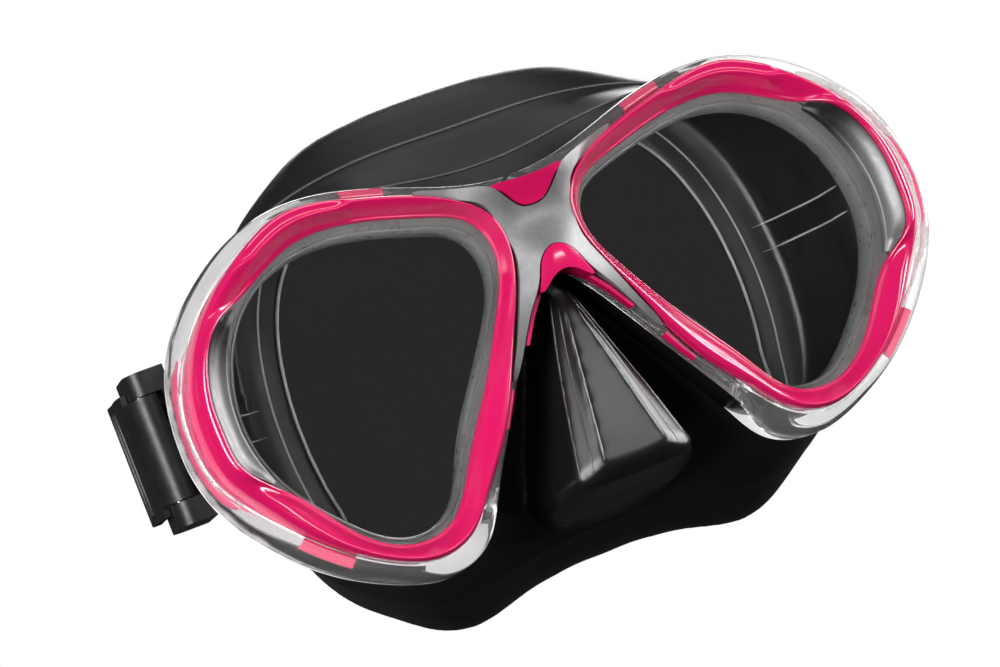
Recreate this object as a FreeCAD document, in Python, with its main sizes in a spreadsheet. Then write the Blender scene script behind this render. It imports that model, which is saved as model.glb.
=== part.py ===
import FreeCAD, Part
import math
import os

from FreeCAD import Placement, Rotation, Vector

# Twin-lens, low-volume diving mask. +X is the wearer's left, the mask looks along -Y, +Z is up.
# Shapes are drawn about the lens plane (y = 0 on the lens line, z = 0 at lens mid height) and every
# sub-part's Placement then moves them so that the origin is the middle of the face opening.

doc = FreeCAD.newDocument("diving_mask")
sheet = doc.addObject("Spreadsheet::Sheet", "dims")

DIMENSIONS = [
    ("seal_depth", 44.0),         # lens plane to the plane of the face opening
    ("bezel_front", -6.2),        # foremost plane of the pink rings
    ("bezel_back", 0.5),
    ("frame_front", -2.0),
    ("frame_depth", 14.0),
    ("lens_front", 0.6),
    ("lens_thickness", 3.8),      # tempered glass
    ("lens_margin", 2.4),         # how far the glass reaches past the bezel's opening
    ("gasket_thickness", 2.0),
    ("port_inset", 2.0),          # frame opening behind the glass, inside the bezel's opening
    ("seat_gap", 0.1),
    ("badge_thickness", 7.4),     # bridge trim, front to back
    ("panel_thickness", 4.6),
    ("skirt_wall", 2.0),
    ("skirt_front", 12.1),
    ("rim_width", 9.0),           # inward seal flange at the face
    ("nose_top", -2.7),           # depth of the nose panel at z = 0
    ("nose_lean", 0.15),          # how far it comes forwards per millimetre down
    ("nose_edge", 6.3),           # depth of the pocket's side edges
    ("pivot_depth", 19.0),        # swivel axis behind the lens plane
    ("pivot_height", 7.0),
    ("stud_radius", 3.0),
    ("stud_gap", 0.05),
    ("arm_inner", 79.0),          # frame's side arm that carries the swivel stud
    ("arm_thickness", 2.4),
    ("yoke_inner", 81.7),
    ("yoke_plate", 1.8),
    ("yoke_start", 23.2),         # front edge of the wide part of the buckle
    ("yoke_end", 41.0),
    ("yoke_height", 34.5),
    ("lug_thickness", 5.2),
    ("lug_outer", 90.6),
    ("roller_across", 87.1),
    ("roller_depth", 33.0),
    ("roller_radius", 1.6),
    ("pin_radius", 1.0),
    ("pin_gap", 0.05),
    ("lever_across", 88.4),       # lever pin
    ("lever_depth", 26.0),
    ("lever_hub", 2.0),
    ("lever_clearance", 0.3),
    ("lever_height", 27.8),       # the lever's outer plate, which laps over both lugs
    ("spring_height", 6.0),
    ("spring_wall", 0.8),
    ("strap_height", 20.0),
    ("strap_thickness", 1.8),
    ("strap_gap", 0.1),
    ("pad_height", 46.0),
    ("pad_slot", 14.0),
]

for row, (alias, value) in enumerate(DIMENSIONS, start=1):
    sheet.set(f"A{row}", alias)
    sheet.set(f"B{row}", str(value))
    sheet.setAlias(f"B{row}", alias)
doc.recompute()


def dim(alias):
    return float(sheet.get(alias))


ORIGIN_SHIFT = Vector(0, -dim("seal_depth"), 0)
SIDES = (("left", 1), ("right", -1))      # the wearer's left is at +X
BUCKLE_MIDDLE = dim("pivot_height")

# Right half outlines, as (across, height) in millimetres.
OPENING = [
    (75.7, 3.0), (73.4, 16.0), (65.4, 28.4), (51.5, 35.3), (36.3, 35.2), (21.9, 31.3), (13.0, 26.8),
    (10.6, 19.5), (14.9, 7.6), (23.8, -7.2), (33.2, -20.8), (41.5, -31.0), (50.5, -32.2),
    (62.0, -24.4), (71.6, -12.0),
]
BEZEL_INNER = [
    (80.1, 5.0), (78.2, 16.6), (73.6, 24.0), (65.6, 28.5), (51.5, 35.3), (36.3, 35.2), (21.9, 31.3),
    (13.0, 26.8), (10.6, 19.5), (14.9, 7.6), (23.8, -7.2), (33.2, -20.8), (41.5, -31.0),
    (50.5, -32.2), (62.0, -24.4), (71.2, -12.8), (78.9, -5.4),
]
BEZEL_OUTER = [
    (86.0, 3.0), (82.6, 18.0), (74.6, 28.6), (63.0, 37.2), (52.0, 42.0), (40.0, 41.0), (27.7, 37.9),
    (15.4, 32.6), (8.6, 26.0), (8.0, 16.0), (14.6, 0.0), (24.0, -18.0), (32.3, -28.4), (38.5, -35.0),
    (46.0, -37.4), (55.0, -35.0), (65.6, -28.2), (76.8, -17.0), (84.2, -6.5),
]
FRAME_OUTER = [
    (0.0, 34.8), (12.0, 36.2), (27.0, 40.8), (44.0, 44.6), (57.0, 43.6), (66.4, 39.6), (76.6, 31.6),
    (83.4, 22.6), (87.2, 8.0), (86.9, -3.0), (83.4, -13.4), (77.2, -22.2), (66.0, -32.6), (55.0, -38.6),
    (45.0, -41.4), (35.0, -38.2), (28.8, -28.8), (21.8, -17.4), (12.2, -2.0), (5.6, 7.5), (0.0, 11.6),
]
SKIRT_FRONT = [
    (0.0, 32.6), (12.0, 34.0), (27.0, 38.6), (45.0, 42.6), (59.0, 40.6), (70.0, 33.4), (76.2, 22.0),
    (77.9, 8.0), (77.0, -6.0), (72.0, -17.6), (62.0, -29.0), (54.0, -36.4), (45.0, -38.8),
    (36.6, -35.6), (30.0, -28.6), (22.0, -17.0), (13.0, -3.0), (6.8, 7.5), (0.0, 14.0),
]
SKIRT_MIDDLE = [
    (0.0, 48.0), (12.0, 48.8), (27.0, 49.6), (44.0, 50.0), (57.0, 45.4), (67.0, 36.6), (74.0, 24.0),
    (76.6, 8.0), (76.4, -8.0), (72.0, -20.6), (63.6, -32.0), (54.4, -40.4), (44.0, -45.8),
    (34.0, -46.2), (26.0, -42.8), (19.0, -38.4), (12.0, -33.0), (6.0, -30.0), (0.0, -29.0),
]
SKIRT_RIM = [
    (0.0, 64.8), (12.0, 64.5), (24.0, 63.2), (34.0, 60.3), (45.0, 53.8), (54.6, 45.8), (62.8, 32.0),
    (67.4, 14.0), (68.2, -5.0), (65.4, -23.6), (58.8, -37.0), (50.4, -44.8), (42.4, -50.6),
    (34.0, -52.9), (26.0, -51.7), (19.0, -49.9), (12.0, -48.9), (6.0, -48.4), (0.0, -48.5),
]
# Nose pocket, front panel first; its panel leans forwards towards the bottom.
NOSE_PANEL = [(0.0, 3.0), (1.3, 2.0), (7.3, -31.0), (6.3, -32.0), (0.0, -32.4)]
NOSE_EDGE = [(0.0, 10.6), (2.4, 9.9), (17.1, -35.4), (15.6, -37.0), (0.0, -37.6)]
NOSE_MIDDLE = [(0.0, 11.0), (3.8, 8.2), (19.6, -36.4), (16.0, -40.2), (0.0, -41.0)]
NOSE_BACK = [(0.0, 12.0), (9.4, 6.0), (24.0, -37.6), (15.4, -45.4), (0.0, -46.6)]

ARCH_INSERT = [(0.0, 17.0), (6.2, 9.2), (12.4, -1.2), (11.6, -1.2), (5.4, 8.0), (0.0, 12.2)]
TOP_INSERT = [(0.0, 26.8), (8.2, 34.1), (0.0, 33.9)]
COVER = [
    (0.0, 26.4), (8.6, 34.0), (13.0, 34.8), (12.4, 31.2), (7.4, 25.4), (7.0, 16.2), (10.1, 6.8), (13.7, -1.6),
    (16.6, -6.6), (15.8, -6.6), (12.8, -1.2), (6.5, 9.4), (0.0, 17.4),
]
PANEL_OUTER = [(66.6, 27.3), (73.0, 23.6), (77.7, 16.3), (79.6, 5.0), (78.3, -5.0)]
PANEL_INNER = [(71.9, -11.3), (75.7, 3.0), (73.4, 16.0), (66.6, 27.3)]


def mirrored(points, side):
    return [(across * side, height) for across, height in points]


def whole(half):
    """A closed left-right symmetric outline from its right half, whose ends lie on the centre line."""
    back = [(-across, height) for across, height in reversed(half) if across > 0]
    return half + back


def grown(points, distance):
    """The closed outline moved outwards along its normals (inwards when distance is negative)."""
    count = len(points)
    area = sum(points[i - 1][0] * points[i][1] - points[i][0] * points[i - 1][1] for i in range(count))
    turn = 1.0 if area > 0 else -1.0
    moved = []
    for i, (across, height) in enumerate(points):
        ahead = points[(i + 1) % count]
        behind = points[i - 1]
        run = ahead[0] - behind[0]
        rise = ahead[1] - behind[1]
        length = math.hypot(run, rise)
        moved.append((across + turn * distance * rise / length, height - turn * distance * run / length))
    return moved


def spline(points, closed=True):
    curve = Part.BSplineCurve()
    curve.interpolate([Vector(across, height, 0) for across, height in points], PeriodicFlag=closed)
    return curve


def polygon(points):
    corners = [Vector(across, height, 0) for across, height in points]
    return [Part.LineSegment(a, b) for a, b in zip(corners, corners[1:] + corners[:1])]


def new_body(label):
    body = doc.addObject("PartDesign::Body", label)
    body.Label = label
    return body


def new_sketch(body, name, plane, curves, offset):
    """A sketch of curves on one of the body's own planes; offset is a sheet expression along the normal."""
    sketch = body.newObject("Sketcher::SketchObject", name)
    origin_plane = [f for f in body.Origin.OriginFeatures if f.Role == plane][0]
    sketch.AttachmentSupport = [(origin_plane, "")]
    sketch.MapMode = "FlatFace"
    for curve in curves:
        sketch.addGeometry(curve, False)
    if offset:
        sketch.setExpression("AttachmentOffset.Base.z", offset)
    return sketch


def pad(body, name, plane, curves, offset, length, reverse=False):
    sketch = new_sketch(body, name + "_sketch", plane, curves, offset)
    feature = body.newObject("PartDesign::Pad", name)
    feature.Profile = sketch
    feature.Reversed = reverse
    feature.setExpression("Length", length)
    return feature


def pocket(body, name, plane, curves, offset, length, midplane=False):
    sketch = new_sketch(body, name + "_sketch", plane, curves, offset)
    feature = body.newObject("PartDesign::Pocket", name)
    feature.Profile = sketch
    feature.Midplane = midplane
    feature.setExpression("Length", length)
    return feature


def slab(label, curves, front, thickness):
    """A body with one pad from the plane at depth front backwards (the XZ plane's normal is -Y)."""
    body = new_body(label)
    pad(body, label + "_pad", "XZ_Plane", curves, f"-({front})", thickness, reverse=True)
    return body


def circle(across, height, radius):
    return Part.Circle(Vector(across, height, 0), Vector(0, 0, 1), radius)


def solid_feature(label, shape):
    feature = doc.addObject("Part::Feature", label)
    feature.Label = label
    feature.Shape = shape
    return feature


def section(points, depth):
    """A closed spline wire of (across, height) points standing at the given depth."""
    curve = Part.BSplineCurve()
    curve.interpolate([Vector(across, depth, height) for across, height in points], PeriodicFlag=True)
    return Part.Wire(curve.toShape())


def box_between(low, high):
    return Part.makeBox(high[0] - low[0], high[1] - low[1], high[2] - low[2], Vector(*low))


# ---------------------------------------------------------------- frame, lenses and front trim
def build_frame():
    """Clear frame: one moulding with two lens seats, the nose arch and two side arms."""
    frame = new_body("main_frame")
    pad(frame, "frame_pad", "XZ_Plane", [spline(whole(FRAME_OUTER))], "-dims.frame_front",
        "dims.frame_depth", reverse=True)
    gap = dim("seat_gap")
    for name, side in SIDES:
        recess = mirrored(grown(BEZEL_OUTER, gap), side)
        pocket(frame, f"bezel_recess_{name}", "XZ_Plane", [spline(recess)], "-dims.frame_front",
               "dims.lens_front - dims.frame_front")
        seat = mirrored(grown(OPENING, dim("lens_margin") + gap), side)
        pocket(frame, f"lens_seat_{name}", "XZ_Plane", [spline(seat)], "-dims.lens_front",
               "dims.lens_thickness + dims.gasket_thickness")
        port = mirrored(grown(OPENING, -dim("port_inset")), side)
        pocket(frame, f"lens_port_{name}", "XZ_Plane", [spline(port)], "-dims.lens_front",
               "dims.frame_depth")
        inner = side * dim("arm_inner")
        outer = side * (dim("arm_inner") + dim("arm_thickness"))
        low = dim("pivot_height") - 9.0
        high = dim("pivot_height") + 9.0
        arm = polygon([(inner, low), (outer, low), (outer, high), (inner, high)])
        pad(frame, f"side_arm_{name}", "XZ_Plane", arm, "-(dims.frame_front + dims.frame_depth - 1)",
            "dims.pivot_depth - dims.frame_front - dims.frame_depth + 8.5", reverse=True)
    doc.recompute()
    before = frame.Shape.Volume
    bore = circle(dim("pivot_depth"), dim("pivot_height"), dim("stud_radius"))
    pocket(frame, "stud_bore", "YZ_Plane", [bore], None, "200 mm", midplane=True)
    doc.recompute()
    print("stud bores remove", round(before - frame.Shape.Volume, 1), "mm3")
    return frame


def build_front():
    pieces = [build_frame()]
    margin = dim("lens_margin")
    for name, side in SIDES:
        glass = mirrored(grown(OPENING, margin), side)
        pieces.append(slab(f"lens_{name}", [spline(glass)], "dims.lens_front", "dims.lens_thickness"))
        bore = mirrored(grown(OPENING, -dim("port_inset")), side)
        pieces.append(slab(f"lens_gasket_{name}", [spline(glass), spline(bore)],
                           "dims.lens_front + dims.lens_thickness", "dims.gasket_thickness"))
        rings = [spline(mirrored(BEZEL_OUTER, side)), spline(mirrored(BEZEL_INNER, side))]
        pieces.append(slab(f"bezel_{name}", rings, "dims.bezel_front", "dims.bezel_back - dims.bezel_front"))
        edges = [spline(mirrored(PANEL_OUTER, side), closed=False),
                 spline(mirrored(PANEL_INNER, side), closed=False),
                 polygon(mirrored([PANEL_OUTER[-1], PANEL_INNER[0]], side))[0]]
        pieces.append(slab(f"temple_panel_{name}", edges, "dims.bezel_back - dims.panel_thickness",
                           "dims.panel_thickness"))
    for label, half in (("bridge_cover", COVER), ("bridge_insert_top", TOP_INSERT),
                        ("bridge_insert_arch", ARCH_INSERT)):
        pieces.append(slab(label, polygon(whole(half)), "dims.frame_front - dims.badge_thickness",
                           "dims.badge_thickness"))
    return pieces


# ---------------------------------------------------------------- silicone skirt with nose pocket
def facet_ring(half, shrink, depth, lean=0.0):
    """A closed polygon wire through a symmetric outline; lean tilts it so that its foot comes forwards."""
    corners = [Vector(a, depth + lean * h, h) for a, h in grown(whole(half), -shrink)]
    return Part.makePolygon(corners + corners[:1])


def nose_pocket(shrink):
    """Faceted nose pocket as a solid, pulled in by shrink at its sides and its front panel."""
    rings = [
        facet_ring(NOSE_PANEL, 0.3 * shrink, dim("nose_top") + 1.2 * shrink, dim("nose_lean")),
        facet_ring(NOSE_EDGE, shrink, dim("nose_edge") + 0.4 * shrink),
        facet_ring(NOSE_MIDDLE, shrink, dim("skirt_front") + 2.0),
        facet_ring(NOSE_BACK, shrink, dim("skirt_front") + 20.0),
    ]
    return Part.makeLoft(rings, True, True)


def skirt_shell(shrink, start, end):
    """Main shell and nose pocket as one solid, each outline pulled in by shrink."""
    middle = (dim("skirt_front") + dim("seal_depth")) / 2
    outlines = [(start, SKIRT_FRONT), (middle, SKIRT_MIDDLE), (end, SKIRT_RIM)]
    wires = [section(grown(whole(half), -shrink), depth) for depth, half in outlines]
    return Part.makeLoft(wires, True, False).fuse(nose_pocket(shrink))


def build_skirt():
    wall = dim("skirt_wall")
    start = dim("skirt_front")
    end = dim("seal_depth")
    shell = skirt_shell(0.0, start, end).cut(skirt_shell(wall, start + wall, end + 1.0))
    rim_outer = section(grown(whole(SKIRT_RIM), -0.5 * wall), end - wall)
    rim_inner = section(grown(whole(SKIRT_RIM), -dim("rim_width")), end - wall)
    flange = Part.Face(rim_outer).cut(Part.Face(rim_inner)).extrude(Vector(0, wall, 0))
    shell = shell.fuse(flange)
    inset = dim("port_inset") + 0.5
    for name, side in SIDES:
        port = section(mirrored(grown(OPENING, -inset), side), start - 1.0)
        shell = shell.cut(Part.Face(port).extrude(Vector(0, wall + 3.0, 0)))
    return solid_feature("skirt", shell.removeSplitter())


# ---------------------------------------------------------------- swivel buckles
def lathe_x(label, side, steps):
    """Round piece about the swivel axis from (start, end, radius) steps along the across direction."""
    parts = []
    for start, end, radius in steps:
        step = doc.addObject("Part::Cylinder", f"{label}_step_{len(parts) + 1}")
        step.setExpression("Radius", radius)
        step.setExpression("Height", f"({end}) - ({start})")
        step.setExpression("Placement.Base.x", f"{side} * ({start})")
        step.setExpression("Placement.Base.y", "dims.pivot_depth")
        step.setExpression("Placement.Base.z", "dims.pivot_height")
        step.Placement.Rotation = Rotation(Vector(0, 1, 0), 90 * side)
        parts.append(step)
    joined = doc.addObject("Part::MultiFuse", label)
    joined.Shapes = parts
    joined.Label = label
    return joined


def rounded_lug(side):
    """Plan of a buckle lug: straight against the plate, round at its outer corners."""
    inner = dim("yoke_inner")
    outer = dim("lug_outer")
    front = dim("yoke_start")
    back = dim("yoke_end") - 1.0
    corner = 4.0
    diagonal = corner * (1 - math.sqrt(0.5))

    def at(across, depth):
        return Vector(across * side, depth, 0)

    return [
        Part.LineSegment(at(inner, back), at(inner, front)),
        Part.LineSegment(at(inner, front), at(outer - corner, front)),
        Part.Arc(at(outer - corner, front), at(outer - diagonal, front + diagonal), at(outer, front + corner)),
        Part.LineSegment(at(outer, front + corner), at(outer, back - corner)),
        Part.Arc(at(outer, back - corner), at(outer - diagonal, back - diagonal), at(outer - corner, back)),
        Part.LineSegment(at(outer - corner, back), at(inner, back)),
    ]


def yoke_plate(side):
    """Side view of the buckle's plate: a round eye on the swivel axis, then the full-height part."""
    middle = BUCKLE_MIDDLE
    eye = 6.0
    start = dim("pivot_depth")
    front = dim("yoke_start")
    back = dim("yoke_end")
    top = middle + dim("yoke_height") / 2
    base = middle - dim("yoke_height") / 2
    corner = 3.0

    def at(depth, height):
        return Vector(depth, height, 0)

    return [
        Part.Arc(at(start, middle + eye), at(start - eye, middle), at(start, middle - eye)),
        Part.LineSegment(at(start, middle - eye), at(front, middle - eye)),
        Part.LineSegment(at(front, middle - eye), at(front, base)),
        Part.LineSegment(at(front, base), at(back - corner, base)),
        Part.LineSegment(at(back - corner, base), at(back, base + corner)),
        Part.LineSegment(at(back, base + corner), at(back, top - corner)),
        Part.LineSegment(at(back, top - corner), at(back - corner, top)),
        Part.LineSegment(at(back - corner, top), at(front, top)),
        Part.LineSegment(at(front, top), at(front, middle + eye)),
        Part.LineSegment(at(front, middle + eye), at(start, middle + eye)),
    ]


def build_yoke(name, side):
    body = new_body(f"buckle_yoke_{name}")
    plate_offset = "dims.yoke_inner" if side > 0 else "-dims.yoke_inner - dims.yoke_plate"
    pad(body, f"plate_{name}", "YZ_Plane", yoke_plate(side), plate_offset, "dims.yoke_plate")
    lower = "dims.pivot_height - dims.yoke_height / 2"
    upper = "dims.pivot_height + dims.yoke_height / 2 - dims.lug_thickness"
    for place, offset in (("lower", lower), ("upper", upper)):
        pad(body, f"lug_{place}_{name}", "XY_Plane", rounded_lug(side), offset, "dims.lug_thickness")
    doc.recompute()
    before = body.Shape.Volume
    eye = circle(dim("pivot_depth"), dim("pivot_height"), dim("stud_radius") + dim("stud_gap"))
    pocket(body, f"eye_{name}", "YZ_Plane", [eye], None, "200 mm", midplane=True)
    doc.recompute()
    pins = [circle(side * dim("roller_across"), dim("roller_depth"), dim("pin_radius")),
            circle(side * dim("lever_across"), dim("lever_depth"), dim("pin_radius"))]
    pocket(body, f"pin_holes_{name}", "XY_Plane", pins, "dims.pivot_height", "dims.yoke_height - 3",
           midplane=True)
    doc.recompute()
    print("yoke", name, "holes remove", round(before - body.Shape.Volume, 1), "mm3")
    return body


def upright_pin(label, side, across, depth):
    pin = doc.addObject("Part::Cylinder", label)
    pin.Label = label
    pin.setExpression("Radius", "dims.pin_radius")
    pin.setExpression("Height", "dims.yoke_height - 3")
    pin.Placement.Base = Vector(side * dim(across), dim(depth), BUCKLE_MIDDLE - (dim("yoke_height") - 3) / 2)
    return pin


def sleeve(label, side, across, depth, outer, bore, height):
    """Tube standing on a pin: a strap roller or the lever's spring."""
    body = new_body(label)
    rings = [circle(side * dim(across), dim(depth), outer), circle(side * dim(across), dim(depth), bore)]
    pad(body, label + "_pad", "XY_Plane", rings, f"dims.pivot_height - ({height}) / 2", height)
    return body


def build_lever(name, side):
    """Curved release lever, hinged at its front edge, ribbed on the outside."""
    half = dim("yoke_height") / 2 - dim("lug_thickness") - dim("lever_clearance")
    low = BUCKLE_MIDDLE - half
    outer = [(85.0, 23.4), (88.8, 23.3), (91.8, 26.6), (93.0, 33.0), (92.9, 41.5)]
    inner = [(91.4, 41.5), (91.3, 33.0), (90.4, 28.8), (85.1, 25.1)]
    front = [Vector(a * side, d, low) for a, d in outer]
    back = [Vector(a * side, d, low) for a, d in inner]
    outer_curve = Part.BSplineCurve()
    outer_curve.interpolate(front)
    inner_curve = Part.BSplineCurve()
    inner_curve.interpolate(back)
    wire = Part.Wire([outer_curve.toShape(), Part.makeLine(front[-1], back[0]), inner_curve.toShape(),
                      Part.makeLine(back[-1], front[0])])
    lever = Part.Face(wire).extrude(Vector(0, 0, 2 * half))
    plate_base = BUCKLE_MIDDLE - dim("lever_height") / 2
    plate = Part.Face(wire).extrude(Vector(0, 0, dim("lever_height")))
    plate.translate(Vector(0, 0, plate_base - low))
    across = sorted((side * (dim("lug_outer") + dim("lever_clearance")), side * 100.0))
    beyond_lugs = box_between((across[0], 27.6, plate_base - 1), (across[1], 42.0, -plate_base + 20))
    lever = lever.fuse(plate.common(beyond_lugs))
    foot = Vector(side * dim("lever_across"), dim("lever_depth"), low)
    lever = lever.fuse(Part.makeCylinder(dim("lever_hub"), 2 * half, foot))
    lever = lever.cut(Part.makeCylinder(dim("pin_radius") + dim("pin_gap"), 2 * half, foot))
    pocket_radius = dim("pin_radius") + dim("pin_gap") + dim("spring_wall") + 0.25
    pocket_height = dim("spring_height") + 0.6
    pocket_foot = Vector(foot.x, foot.y, BUCKLE_MIDDLE - pocket_height / 2)
    lever = lever.cut(Part.makeCylinder(pocket_radius, pocket_height, pocket_foot))
    return solid_feature(f"release_lever_{name}", lever)


def build_buckles():
    pieces = []
    arm_outer = "dims.arm_inner + dims.arm_thickness"
    for name, side in SIDES:
        shaft = ("dims.arm_inner + 0.1", "dims.yoke_inner + dims.yoke_plate + 0.1", "dims.stud_radius")
        head = ("dims.yoke_inner + dims.yoke_plate + 0.1", "dims.yoke_inner + dims.yoke_plate + 1.2",
                "dims.stud_radius + 1.6")
        pieces.append(lathe_x(f"swivel_stud_{name}", side, [shaft, head]))
        pieces.append(build_yoke(name, side))
        pieces.append(upright_pin(f"roller_pin_{name}", side, "roller_across", "roller_depth"))
        pieces.append(upright_pin(f"lever_pin_{name}", side, "lever_across", "lever_depth"))
        bore = dim("pin_radius") + dim("pin_gap")
        pieces.append(sleeve(f"strap_roller_{name}", side, "roller_across", "roller_depth",
                             dim("roller_radius"), bore, "dims.yoke_height - 2 * dims.lug_thickness - 0.8"))
        pieces.append(sleeve(f"lever_spring_{name}", side, "lever_across", "lever_depth",
                             bore + dim("spring_wall"), bore, "dims.spring_height"))
        pieces.append(build_lever(name, side))
    return pieces


# ---------------------------------------------------------------- head strap
def strap_rear_line():
    """Middle line of the strap's left half from the roller to the middle of the back, seen from above."""
    bend = dim("roller_radius") + dim("strap_gap") + dim("strap_thickness") / 2
    curve = Part.BSplineCurve()
    curve.interpolate([Vector(dim("roller_across") + bend, dim("roller_depth"), 0), Vector(89.2, 44.0, 0),
                       Vector(86.8, 60.0, 0), Vector(81.4, 77.0, 0), Vector(68.0, 97.0, 0),
                       Vector(44.0, 112.0, 0), Vector(0, 119.0, 0)],
                      InitialTangent=Vector(0, 18, 0), FinalTangent=Vector(-44, 0, 0))
    return curve.toShape()


def strap_tail_line():
    """Tail and turn round the roller, joining the rear line."""
    bend = dim("roller_radius") + dim("strap_gap") + dim("strap_thickness") / 2
    across = dim("roller_across")
    depth = dim("roller_depth")
    inner = Vector(across - bend, depth, 0)
    turn = Part.Arc(inner, Vector(across, depth - bend, 0), Vector(across + bend, depth, 0))
    return [Part.makeLine(Vector(across - bend, depth + 15.0, 0), inner), turn.toShape()]


def band(edges, start, run, height):
    """Strap of the given height swept along the edges; run is the direction of the edges at start."""
    half = dim("strap_thickness") / 2
    side = Vector(-run.y, run.x, 0).normalize() * half
    low = Vector(0, 0, BUCKLE_MIDDLE - height / 2)
    high = Vector(0, 0, BUCKLE_MIDDLE + height / 2)
    corners = [start + side + low, start - side + low, start - side + high, start + side + high]
    profile = Part.Wire(Part.makePolygon(corners + corners[:1]).Edges)
    path = Part.Wire(edges)
    path.translate(Vector(0, 0, BUCKLE_MIDDLE))
    return path.makePipeShell([profile], True, False)


def build_strap():
    tail = strap_tail_line()
    rear = strap_rear_line()
    arm = band(tail + [rear], tail[0].Vertexes[0].Point, Vector(0, -1, 0), dim("strap_height"))
    tall = band([rear], rear.Vertexes[0].Point, Vector(0, 1, 0), dim("pad_height"))
    half_slot = dim("pad_slot") / 2
    rear_pad = tall.common(box_between((-1, 90, -40), (52, 130, 60)))
    half = arm.fuse(rear_pad)
    half = half.cut(box_between((-1, 90, BUCKLE_MIDDLE - half_slot), (36, 130, BUCKLE_MIDDLE + half_slot)))
    strap = half.fuse(half.mirror(Vector(0, 0, 0), Vector(1, 0, 0)))
    return solid_feature("head_strap", strap)


subparts = build_front() + [build_skirt()] + build_buckles() + [build_strap()]
doc.recompute()

for piece in subparts:
    if piece.isDerivedFrom("Part::Feature") and not piece.isDerivedFrom("PartDesign::Body"):
        piece.Placement.Base = piece.Placement.Base + ORIGIN_SHIFT
    else:
        piece.Placement = Placement(ORIGIN_SHIFT, Rotation())
doc.recompute()

for item in doc.Objects:
    bad = [state for state in item.State if state in ("Invalid", "Error")]
    if bad:
        raise RuntimeError(f"{item.Label} is {bad}")

os.makedirs("parts", exist_ok=True)
for piece in subparts:
    shape = piece.Shape
    if shape.isNull() or not shape.isValid():
        raise RuntimeError(f"{piece.Label} has no valid shape")
    print(f"{piece.Label:24s} solids {len(shape.Solids)} volume {shape.Volume:10.1f}")
    shape.exportStep(f"parts/{piece.Label}.step")
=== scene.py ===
import bmesh
import bpy
import math
import numpy as np
from mathutils import Matrix, Vector
from mathutils.bvhtree import BVHTree


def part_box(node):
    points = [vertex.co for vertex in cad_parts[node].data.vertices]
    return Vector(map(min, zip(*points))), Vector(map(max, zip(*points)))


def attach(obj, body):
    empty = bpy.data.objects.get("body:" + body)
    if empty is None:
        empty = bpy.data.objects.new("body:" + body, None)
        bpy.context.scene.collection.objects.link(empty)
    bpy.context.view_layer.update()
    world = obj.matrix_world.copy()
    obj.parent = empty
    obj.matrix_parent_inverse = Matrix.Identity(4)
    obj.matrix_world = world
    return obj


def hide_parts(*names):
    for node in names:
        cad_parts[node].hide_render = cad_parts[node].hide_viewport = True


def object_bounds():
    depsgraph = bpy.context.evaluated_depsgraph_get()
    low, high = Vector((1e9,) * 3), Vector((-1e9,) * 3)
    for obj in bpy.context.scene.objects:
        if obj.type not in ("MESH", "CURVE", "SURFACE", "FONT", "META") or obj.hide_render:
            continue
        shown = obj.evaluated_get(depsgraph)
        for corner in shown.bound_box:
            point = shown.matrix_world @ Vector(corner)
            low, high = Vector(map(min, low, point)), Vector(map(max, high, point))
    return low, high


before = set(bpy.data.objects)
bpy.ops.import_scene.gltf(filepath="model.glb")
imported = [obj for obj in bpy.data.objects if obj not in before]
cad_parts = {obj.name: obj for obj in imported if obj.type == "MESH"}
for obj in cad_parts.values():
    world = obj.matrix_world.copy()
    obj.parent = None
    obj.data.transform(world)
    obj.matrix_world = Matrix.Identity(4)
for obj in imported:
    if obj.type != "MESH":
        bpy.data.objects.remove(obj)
CAD_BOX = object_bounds()

MM = 0.001
SIDES = (("left", 1), ("right", -1))       # the wearer's left is at +X
LENS_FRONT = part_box("lens_left")[0].y
LENS_PLANE = LENS_FRONT - 0.6 * MM
EYE = (40.0, 0.0)                          # middle of the left lens, from which its outlines are read
FAR = 120.0                                # farther from there than any edge of the mask
RIM_DEPTH = -LENS_PLANE / MM               # the face plane, in millimetres behind the lens plane


def at(across, depth, height):
    """A point of the part's frame from millimetres across, behind the lens plane, and up."""
    return Vector((across * MM, LENS_PLANE + depth * MM, height * MM))


def millimetres(point):
    """Across, depth and height of a point of the part's frame: the reverse of at."""
    return point.x / MM, (point.y - LENS_PLANE) / MM, point.z / MM


# ------------------------------------------------------------------ numbers and outlines
def smoothstep(low, high, value):
    share = np.clip((value - low) / (high - low), 0.0, 1.0)
    return share * share * (3.0 - 2.0 * share)


def window(value, start, end, soft):
    """1 between start and end, falling to 0 over soft on each side."""
    return smoothstep(start - soft, start, value) * (1.0 - smoothstep(end, end + soft, value))


def low_pass(values, keep):
    """A periodic row of values with only its first harmonics kept, which removes the CAD mesh's facets."""
    spectrum = np.fft.rfft(values)
    fade = np.exp(-((np.arange(len(spectrum)) / keep) ** 4))
    return np.fft.irfft(spectrum * fade, len(values))


def hermite(start, start_slope, end, end_slope, share):
    """Points a share of the way along cubic spans given by their ends and slopes."""
    t = share[:, None]
    return (
        start * (2 * t**3 - 3 * t**2 + 1)
        + start_slope * (t**3 - 2 * t**2 + t)
        + end * (3 * t**2 - 2 * t**3)
        + end_slope * (t**3 - t**2)
    )


def closed_spline(points, count):
    """count points evenly spaced in parameter on the periodic cubic spline through the points."""
    knots = np.asarray(points, float)
    n = len(knots)
    system = np.eye(n) * 4.0 + np.roll(np.eye(n), 1, 0) + np.roll(np.eye(n), -1, 0)
    slopes = np.linalg.solve(system, 3.0 * (np.roll(knots, -1, 0) - np.roll(knots, 1, 0)))
    at_knot = np.arange(count) * n / count
    first = at_knot.astype(int)
    second = (first + 1) % n
    return hermite(knots[first], slopes[first], knots[second], slopes[second], at_knot - first)


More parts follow.
